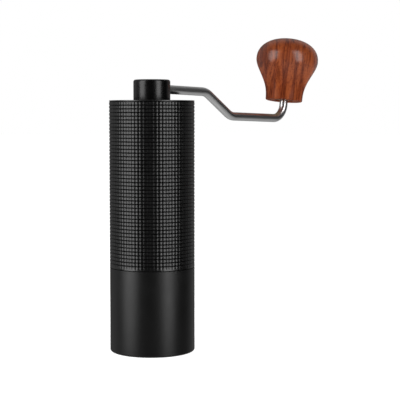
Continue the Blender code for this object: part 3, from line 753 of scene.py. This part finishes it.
def make_crank_arm():
    """Sweep the rod along its path; its UV maps keep the place around and along it."""
    path, foot = rod_path()
    radii = [ROD_R] * len(path)
    radii[-4] = radii[-3] = CLIP_GROOVE_R
    along = 0.0
    stations = []
    for i, (x, z, heading) in enumerate(path):
        if i:
            along += math.hypot(x - path[i - 1][0], z - path[i - 1][1])
        stations.append((x, z, heading, radii[i], along))
    stations[:1] = chamfered(stations[0], 1)
    stations[-1:] = reversed(chamfered(stations[-1], -1))

    sides = 48
    shape = bmesh.new()
    around_map = shape.loops.layers.uv.new("around")
    along_map = shape.loops.layers.uv.new("along")
    spots = {}
    rows = []
    for x, z, heading, radius, distance in stations:
        row = []
        for k in range(sides):
            angle = 2.0 * math.pi * k / sides
            side, up = math.cos(angle), math.sin(angle)
            vert = shape.verts.new(((x - up * radius * math.sin(heading)) * MM,
                                    side * radius * MM,
                                    (z + up * radius * math.cos(heading)) * MM))
            spots[vert] = (side, up, distance)
            row.append(vert)
        rows.append(row)
    skin(shape, rows)
    for face in shape.faces:
        for loop in face.loops:
            side, up, distance = spots[loop.vert]
            loop[around_map].uv = (side, up)
            loop[along_map].uv = (distance / 100.0, 0.0)
    new_object("crank_rod", to_mesh(shape, "crank_rod", 40.0), rod_steel("brushed_rod"),
               "crank_arm")
    return foot


def chamfered(station, sign):
    """A station of the rod's end as two: the narrowed tip, and the full rod behind it."""
    x, z, heading, radius, distance = station
    step = sign * ROD_CHAMFER
    return [(x, z, heading, radius - ROD_CHAMFER, distance),
            (x + step * math.cos(heading), z + step * math.sin(heading), heading, radius,
             distance + step)]


def knob_radius(height):
    """The knob's outline: a waist that opens smoothly, then a squarish dome."""
    if height <= KNOB_MAX_H:
        t = (height / KNOB_MAX_H) ** 1.38
        return KNOB_BASE_R + (KNOB_MAX_R - KNOB_BASE_R) * (3.0 * t * t - 2.0 * t ** 3)
    t = min(1.0, (height - KNOB_MAX_H) / (KNOB_H - KNOB_MAX_H))
    return KNOB_MAX_R * (1.0 - t ** 2.2) ** (1.0 / 2.2)


def make_knob(foot):
    place = (Matrix.Translation(Vector((foot[0], 0.0, foot[1])) * MM)
             @ Matrix.Rotation(LEAN, 4, "Y"))
    outline = [(0.0, KNOB_H)]
    for swing in np.radians(np.linspace(2.0, 90.0, 34)):
        height = KNOB_MAX_H + (KNOB_H - KNOB_MAX_H) * math.cos(swing)
        outline.append((knob_radius(height), height))
    outline += [(knob_radius(h), h) for h in np.linspace(KNOB_MAX_H - 0.6, 0.9, 42)]
    edge = 0.8
    outline += [(KNOB_BASE_R - edge + edge * math.cos(a), edge + edge * math.sin(a))
                for a in np.radians(np.linspace(0.0, -90.0, 8))]
    outline += rounded([(KNOB_BASE_R - edge - 0.4, 0.0), (6.0, 0.0), (6.0, 29.5), (0.0, 29.5)],
                       0.3, closed=False)
    piece("knob_wood", "knob", outline, rosewood("rosewood"), 160, place=place)
    brass = turned_metal("bush_brass", 0.60, 0.3, tint=(1.0, 0.76, 0.38))
    bush = rounded(ring(3.1, 5.7, 0.6, 23.6), 0.3)
    piece("knob_sleeve", "knob_bush", bush, brass, 96, place=place)
    steel = turned_metal("clip_steel", 0.32, 0.34)
    snap_ring("knob_snap_ring", "knob_circlip", 2.3, 4.9, 24.0, 24.8, 2.4, steel, place)


# ---------------------------------------------------------------- bearings and bridges

def make_bearing(prefix):
    low, high = low_high(prefix + "_outer_race")[0].z, low_high(prefix + "_outer_race")[1].z
    middle = (low + high) / 2.0
    groove = [(8.9 + 0.45 * math.cos(a), middle + 1.28 * math.sin(a))
              for a in np.radians(np.linspace(-80.0, 80.0, 11))]
    outer = rounded([(8.9, high), (10.7, high), (10.7, low), (8.9, low)], 0.4, closed=False)
    steel = turned_metal(prefix + "_steel", 0.50, 0.2)
    piece(prefix + "_outer", prefix + "_outer_race", outer + groove, steel, 128)
    groove = [(6.1 - 0.45 * math.cos(a), middle + 1.28 * math.sin(a))
              for a in np.radians(np.linspace(80.0, -80.0, 11))]
    inner = rounded([(6.1, low), (4.3, low), (4.3, high), (6.1, high)], 0.4, closed=False)
    piece(prefix + "_inner", prefix + "_inner_race", groove + inner, steel, 96)

    cage_ring = rounded(ring(7.0, 8.0, middle - 2.2, middle + 2.2), 0.25)
    cage = bmesh.new()
    cage.from_mesh(revolve_mesh(prefix + "_balls", cage_ring, 112))
    for i in range(7):
        spot = polar(7.5, 2.0 * math.pi * (i + 0.5) / 7, middle)
        bmesh.ops.create_uvsphere(cage, u_segments=32, v_segments=20, radius=1.6 * MM,
                                  matrix=Matrix.Translation(Vector(spot) * MM))
    mesh = to_mesh(cage, prefix + "_balls", SHARP)
    new_object(prefix + "_balls", mesh, turned_metal(prefix + "_cage_steel", 0.55, 0.22),
               prefix + "_ball_cage")


def spoke_angles():
    """Where the bridges' three spokes stand, with the burr screws between their roots."""
    return [math.radians(60.0 + 120.0 * i) for i in range(3)]


def beveled_box(size, centre, turn, width):
    shape = bmesh.new()
    shape.from_mesh(box_mesh(size, centre, turn))
    bmesh.ops.bevel(shape, geom=list(shape.edges), offset=width * MM, segments=3,
                    affect="EDGES", profile=0.5)
    return to_mesh(shape)


def make_bridge(name, node, ring_out, ring_z, hub_z, spoke_z, width, race_z):
    """The casting that carries a bearing: hub, three spokes and an outer ring."""
    rim = revolve_mesh(name, rounded(ring(21.3, ring_out, *ring_z), 0.6), 168)
    hub = revolve_mesh("hub", rounded([(0.0, hub_z[1]), (13.2, hub_z[1]), (13.2, hub_z[0]),
                                       (0.0, hub_z[0])], 0.7), 128)
    joined = [hub]
    for angle in spoke_angles():
        reach = (21.3 + ring_out) / 2.0
        spoke = beveled_box((reach, width, spoke_z[1] - spoke_z[0]),
                            polar(reach / 2.0, angle, sum(spoke_z) / 2.0), angle, 0.8)
        joined.append(spoke)
    mesh = combine(rim, joined, "UNION")
    seat_low = race_z - 0.3
    seat = [(0.0, hub_z[1] + 1.0), (11.0, hub_z[1] + 1.0), (11.0, seat_low), (8.8, seat_low),
            (8.8, hub_z[0] - 1.0), (0.0, hub_z[0] - 1.0)]
    tools = [revolve_mesh("seat", seat, 128)]
    if node == "lower_bearing_bridge":
        room = [(0.0, 67.9), (13.2, 67.9), (16.2, 64.0), (16.2, 61.0), (0.0, 61.0)]
        tools.append(revolve_mesh("room", room, 128))
        for angle in spoke_angles():
            tools.append(cylinder_mesh(2.6, 8.0, polar(SCREW_PITCH_R, angle, 71.3)))
            tools.append(cylinder_mesh(1.55, 20.0, polar(SCREW_PITCH_R, angle, 64.0)))
    mesh = combine(mesh, tools)
    new_object(name, mesh, cast_metal(name + "_alloy", 0.42, 0.42), node)


# ---------------------------------------------------------------- drive shaft

def make_shaft():
    outline = [(0.0, 153.0), (3.4, 153.0), (4.0, 152.4), (4.0, 139.6), (3.4, 139.6),
               (3.4, 138.3), (4.0, 138.3), (4.0, 131.0), (5.4, 131.0), (5.4, 128.6),
               (4.0, 128.6), (4.0, 79.2), (5.4, 79.2), (5.4, 76.8), (4.0, 76.8), (4.0, 44.2),
               (3.7, 44.2), (3.7, 31.0), (3.2, 30.5), (0.0, 30.5)]

    def foot_thread(angles, radius, height):
        if abs(radius - 3.7) < 0.01 and 31.6 < height < 43.4:
            phase = (height - angles / (2.0 * math.pi)) % 1.0
            return -0.35 * np.abs(2.0 * phase - 1.0)
        return np.zeros(len(angles))

    foot_top = outline.index((3.7, 44.2))
    foot = rows_between(3.7, 44.0, 31.2, 0.125)
    outline = (rounded(outline[:foot_top + 1], 0.15, closed=False) + foot
               + outline[foot_top + 1:])
    mesh = revolve_mesh("shaft_bar", outline, 96, foot_thread)
    tools = []
    for i in range(6):
        angle = math.radians(60.0 * i)
        tools.append(box_mesh((4.0, 12.0, 20.0), polar(DRIVE_FLAT + 2.0, angle, 152.0), angle))
    for side in (1, -1):
        tools.append(box_mesh((12.0, 4.0, 20.8), (0.0, side * (BURR_FLAT + 2.0), 53.6)))
    mesh = combine(mesh, tools, sharp=30.0)
    steel = turned_metal("shaft_steel", 0.48, 0.26)
    new_object("shaft_bar", mesh, steel, "drive_shaft")
    snap_ring("shaft_snap_ring", "shaft_circlip", 3.7, 6.2, 138.55, 139.35, 3.0,
              turned_metal("shaft_clip_steel", 0.30, 0.36))
    piece("thrust_washer", "spring_washer", rounded(ring(4.3, 6.2, 68.6, 69.5), 0.2),
          steel, 96)
    spring_mesh = helix("coil_spring", 4.95, 0.45, SPRING_FOOT, SPRING_TOP, 5.0, (0.0, 0.0))
    spring = new_object("coil_spring", spring_mesh, turned_metal("spring_steel", 0.38, 0.28),
                        "burr_spring")
    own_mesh(spring)


def helix(name, coil_r, wire_r, low, high, turns, centre):
    """A spring whose end coils lie flat."""
    points = int(turns * 48)
    sides = 14
    shape = bmesh.new()
    rows = []
    rise = high - low - 2.0 * wire_r
    for i in range(points + 1):
        t = i / points
        angle = 2.0 * math.pi * turns * t
        flat = 0.5 / turns
        eased = min(1.0, max(0.0, (t - flat) / (1.0 - 2.0 * flat)))
        height = low + wire_r + rise * (0.16 * t + 0.84 * eased)
        row = []
        for k in range(sides):
            a = 2.0 * math.pi * k / sides
            spot = polar(coil_r + wire_r * math.cos(a), angle, height + wire_r * math.sin(a))
            row.append(shape.verts.new((Vector(spot) + Vector((*centre, 0.0))) * MM))
        rows.append(row)
    skin(shape, rows)
    return to_mesh(shape, name, 50.0)


# ---------------------------------------------------------------- burrs and dial

def toothed_shift(sets, angles, height):
    """Depth of helical teeth: sets of (count, turns per mm of height, depth)."""
    total = np.zeros(len(angles))
    for count, twist, depth in sets:
        phase = (count * (angles / (2.0 * math.pi) + twist * height)) % 1.0
        total = total + depth * phase
    return total


def blend(height, low, high):
    """0 below low, 1 above high."""
    return min(1.0, max(0.0, (height - low) / (high - low)))


def subdivided(outline, step):
    """The outline with points about one step apart in height."""
    wall = []
    for (r0, z0), (r1, z1) in zip(outline, outline[1:]):
        steps = max(2, round(abs(z1 - z0) / step))
        wall += [(r0 + (r1 - r0) * i / steps, z0 + (z1 - z0) * i / steps)
                 for i in range(steps)]
    return wall + [outline[-1]]


def make_inner_burr():
    low, high = low_high("inner_burr")[0].z, low_high("inner_burr")[1].z
    wall = subdivided([(7.5, high), (8.9, high - 3.5), (12.9, high - 7.2),
                       (16.6, high - 10.3), (17.9, high - 11.6), (17.9, low)], 0.35)

    def flutes(angles, radius, height):
        steep = blend(height, high - 11.0, high - 7.0)
        start = 1.0 - 0.6 * blend(height, high - 1.0, high)
        sets = [(6, 0.028, 2.0 * steep * start), (36, 0.012, 0.8 * (1.0 - steep) + 0.05)]
        return -toothed_shift(sets, angles, height)

    bore = combine(cylinder_mesh(4.3, 40.0, (0, 0, 50.0), sides=96),
                   [box_mesh((20.0, 7.2, 60.0), (0, 0, 50.0))], "INTERSECT")
    mesh = revolve_mesh("cone_burr", wall + [(0.0, low), (0.0, high)], 288, flutes, sharp=25.0)
    mesh = combine(mesh, [bore, cylinder_mesh(5.8, 6.0, (0, 0, high), sides=96)], sharp=25.0)
    new_object("cone_burr", mesh, turned_metal("burr_steel", 0.36, 0.34, 0.3), "inner_burr")


def make_burr_ring():
    low, high = low_high("burr_ring")[0].z, low_high("burr_ring")[1].z
    wall = subdivided([(18.4, low), (18.1, high - 12.5), (16.9, high - 7.0), (16.1, high)],
                      0.4)

    def teeth(angles, radius, height):
        if radius > 18.6:
            return np.zeros(len(angles))
        steep = blend(height, high - 12.5, high - 8.0)
        sets = [(12, -0.012, 1.2 * steep), (48, -0.006, 0.55 * (1.0 - steep) + 0.05)]
        return toothed_shift(sets, angles, height)

    outer = rounded([(20.0, high), (21.5, high), (21.5, low), (20.0, low)], 0.35, closed=False)
    mesh = revolve_mesh("ring_burr", outer + wall, 288, teeth, sharp=25.0)
    tools = [cylinder_mesh(1.55, 14.0, polar(SCREW_PITCH_R, angle, high))
             for angle in spoke_angles()]
    mesh = combine(mesh, tools, sharp=25.0)
    new_object("ring_burr", mesh, turned_metal("ring_burr_steel", 0.36, 0.34, 0.3), "burr_ring")


def make_burr_screws():
    steel = turned_metal("cap_screw_steel", 0.16, 0.34)
    outline = rounded([(0.0, 69.8), (2.3, 69.8), (2.3, 67.6), (1.25, 67.6)], 0.2,
                      closed=False)[:-1]
    outline += rows_between(1.25, 67.6, 56.0, 0.08) + [(1.0, 55.6), (0.0, 55.6)]

    def shank_thread(angles, radius, height):
        if abs(radius - 1.25) < 0.01 and height < 64.0:
            phase = (height / 0.45 - angles / (2.0 * math.pi)) % 1.0
            return -0.2 * np.abs(2.0 * phase - 1.0)
        return np.zeros(len(angles))

    for i, angle in enumerate(spoke_angles()):
        name = "cap_screw_" + str(i + 1)
        mesh = revolve_mesh(name, outline, 36, shank_thread)
        mesh = combine(mesh, [cylinder_mesh(1.2, 3.0, (0, 0, 70.0), sides=6)])
        mesh.transform(Matrix.Translation(Vector(polar(SCREW_PITCH_R, angle, 0.0)) * MM))
        new_object(name, mesh, steel, "burr_screw_" + str(i + 1))


def make_dial():
    low, high = low_high("adjustment_dial")[0].z, low_high("adjustment_dial")[1].z
    outline = rounded([(12.5, high), (12.5, low + 3.2), (11.0, low + 1.0), (9.0, low),
                       (4.0, low), (4.0, high)], 0.25)
    mesh = revolve_mesh("dial_nut", outline, 192)
    tools = []
    for i in range(CLICK_COUNT):
        angle = 2.0 * math.pi * (i + 0.5) / CLICK_COUNT
        tools.append(cylinder_mesh(1.6, 12.0, polar(13.2, angle, low + 1.0), sides=40))
    for i in range(36):
        angle = 2.0 * math.pi * i / 36
        length = 2.4 if i % 3 == 0 else 1.3
        tools.append(box_mesh((length, 0.28, 0.5), polar(8.6 - length / 2.0, angle, low),
                              angle))
    tools.append(cylinder_mesh(1.3, 6.4, (CLICK_R, 0.0, high - 3.0), sides=40))
    mesh = combine(mesh, tools, sharp=30.0)
    new_object("dial_nut", mesh, turned_metal("dial_steel", 0.48, 0.3), "adjustment_dial")

    plate = revolve_mesh("dimple_plate", rounded(ring(4.6, 12.0, 41.4, 42.1), 0.12), 144)
    # the small turn keeps the spheres' edges off the plate's own
    dimples = [sphere_mesh(0.6, polar(CLICK_R, 2.0 * math.pi * i / CLICK_COUNT + 0.02, 41.15),
                           24, 16) for i in range(CLICK_COUNT)]
    mesh = combine(plate, dimples)
    steel = turned_metal("plate_steel", 0.44, 0.28)
    new_object("dimple_plate", mesh, steel, "click_plate")

    ball = sphere_mesh(CLICK_BALL_R, (CLICK_R, 0.0, CLICK_BALL_Z), 40, 24)
    shade(ball)
    new_object("detent_ball", ball, turned_metal("ball_steel", 0.55, 0.15), "click_ball")
    low, high = low_high("click_spring")[0].z, low_high("click_spring")[1].z
    new_object("detent_spring", helix("detent_spring", 0.7, 0.15, low, high, 5.0, (CLICK_R, 0.0)),
               steel, "click_spring")


# ---------------------------------------------------------------- camera and studio

CAMERA_OFFSET = Vector((29.3, -716.9, 145.1))   # before the turn that puts the arm on +X
CAMERA_TURN = math.radians(-45.0)
CAMERA_DOWN = math.radians(4.18)
LENS = 105.6
SENSOR = 36.0
PANEL_ELEVATION = 13.0
PANEL_DISTANCE = 1.1        # this and the lines below are in metres
PANEL_HEIGHT = 1.35
PANEL_TARGET = Vector((0.02, 0.0, 0.12))
FLOOR_DROP = 0.0002
FLOOR_REACH = 6.0


def make_camera():
    data = bpy.data.cameras.new("camera")
    data.lens = LENS
    data.sensor_width = SENSOR
    data.clip_start = 0.01
    camera = bpy.data.objects.new("camera", data)
    bpy.context.scene.collection.objects.link(camera)
    camera.location = Matrix.Rotation(CAMERA_TURN, 3, "Z") @ CAMERA_OFFSET * MM
    camera.rotation_euler = (math.pi / 2.0 - CAMERA_DOWN, 0.0, CAMERA_TURN)
    bpy.context.scene.camera = camera


def studio_direction(azimuth, elevation):
    """Unit vector at an angle to the right of the camera's side, seen from the grinder."""
    a = CAMERA_TURN - math.pi / 2.0 + math.radians(azimuth)
    e = math.radians(elevation)
    return Vector((math.cos(a) * math.cos(e), math.sin(a) * math.cos(e), math.sin(e)))


def add_panel(name, azimuth, width, power):
    """A tall soft box, aimed at the middle of the grinder."""
    data = bpy.data.lights.new(name, "AREA")
    data.shape = "RECTANGLE"
    data.size = width
    data.size_y = PANEL_HEIGHT
    data.energy = power
    panel = bpy.data.objects.new(name, data)
    bpy.context.scene.collection.objects.link(panel)
    away = studio_direction(azimuth, PANEL_ELEVATION)
    panel.location = PANEL_TARGET + away * PANEL_DISTANCE
    panel.rotation_euler = away.to_track_quat("Z", "Y").to_euler()


def make_world():
    """White to the eye, soft light from the sides, and a dim studio in the reflections."""
    world = bpy.data.worlds.new("studio")
    bpy.context.scene.world = world
    world.use_nodes = True
    tree = world.node_tree
    tree.nodes.clear()
    link = tree.links.new

    def add(kind):
        return tree.nodes.new("ShaderNode" + kind)

    def shades(value, stops):
        """Grey values for a value that runs from -1 to 1, with stops from 0 to 1."""
        remap = add("MapRange")
        remap.inputs["From Min"].default_value = -1.0
        link(value, remap.inputs["Value"])
        ramp = add("ValToRGB")
        set_stops(ramp, [(position, grey(brightness)) for position, brightness in stops])
        link(remap.outputs["Result"], ramp.inputs["Fac"])
        return ramp.outputs["Color"]

    path = add("LightPath")
    direction = add("TexCoord").outputs["Generated"]
    split = add("SeparateXYZ")
    link(direction, split.inputs["Vector"])
    height = split.outputs["Z"]

    # the soft light comes from the sides, and little of it from overhead
    overhead = shades(height, [(0.0, 1.0), (0.66, 1.0), (0.82, 0.15), (1.0, 0.15)])
    soft = add("Mix")
    soft.data_type = "RGBA"
    soft.inputs[MIX_A].default_value = (1.0, 1.0, 1.0, 1.0)
    link(path.outputs["Is Diffuse Ray"], soft.inputs[MIX_FACTOR])
    link(overhead, soft.inputs[MIX_B])
    white = add("Background")
    link(soft.outputs[MIX_RESULT], white.inputs["Color"])

    # reflections by height: pale floor below, black walls, a dim ceiling
    by_height = shades(height, [(0.0, 0.60), (0.20, 0.42), (0.36, 0.04), (0.46, 0.0),
                                (0.60, 0.0), (0.80, 0.03), (1.0, 0.08)])
    # and pale walls towards the sides and the back of the studio
    behind = add("VectorMath")
    behind.operation = "DOT_PRODUCT"
    behind.inputs[1].default_value = -studio_direction(12.0, 0.0)
    link(direction, behind.inputs[0])
    walls = shades(behind.outputs["Value"], [(0.52, 0.0), (0.70, 0.28), (0.86, 0.36),
                                             (0.96, 0.16), (1.0, 0.10)])
    both = add("Mix")
    both.data_type = "RGBA"
    both.blend_type = "LIGHTEN"
    both.inputs[MIX_FACTOR].default_value = 1.0
    link(by_height, both.inputs[MIX_A])
    link(walls, both.inputs[MIX_B])
    studio = add("Background")
    link(both.outputs[MIX_RESULT], studio.inputs["Color"])

    mix = add("MixShader")
    link(path.outputs["Is Glossy Ray"], mix.inputs["Fac"])
    link(white.outputs["Background"], mix.inputs[1])
    link(studio.outputs["Background"], mix.inputs[2])
    link(mix.outputs["Shader"], add("OutputWorld").inputs["Surface"])


def make_floor():
    """A plain pale floor, which the glossy surfaces don't mirror."""
    shape = bmesh.new()
    bmesh.ops.create_grid(shape, x_segments=1, y_segments=1, size=FLOOR_REACH)
    white = Nodes("floor_white", grey(0.9), 1.0)
    white.set("Emission Color", (1.0, 1.0, 1.0, 1.0))
    white.set("Emission Strength", 0.75)
    floor = new_object("floor", to_mesh(shape, "floor"), white.material)
    floor.location.z = -FLOOR_DROP
    floor.visible_glossy = False


def make_studio():
    bpy.context.scene.view_settings.view_transform = "Standard"
    make_camera()
    make_world()
    make_floor()
    add_panel("left_softbox", -60.0, 0.70, 11.0)
    add_panel("right_softbox", 44.0, 0.52, 9.2)


# ---------------------------------------------------------------- making it all

def main():
    make_studio()
    make_grip_barrel()
    make_grounds_cup()
    make_lid()
    make_hub()
    make_knob(make_crank_arm())
    make_bearing("upper_bearing")
    make_bearing("lower_bearing")
    make_bridge("upper_bridge", "upper_bearing_bridge", 24.0, (131.0, 136.0),
                (129.6, 138.6), (131.2, 135.8), 4.0, 131.3)
    make_bridge("lower_bridge", "lower_bearing_bridge", 23.5, (62.3, 67.0), (67.9, 77.0),
                (62.8, 71.5), 5.6, 69.8)
    make_shaft()
    make_inner_burr()
    make_burr_ring()
    make_burr_screws()
    make_dial()


main()
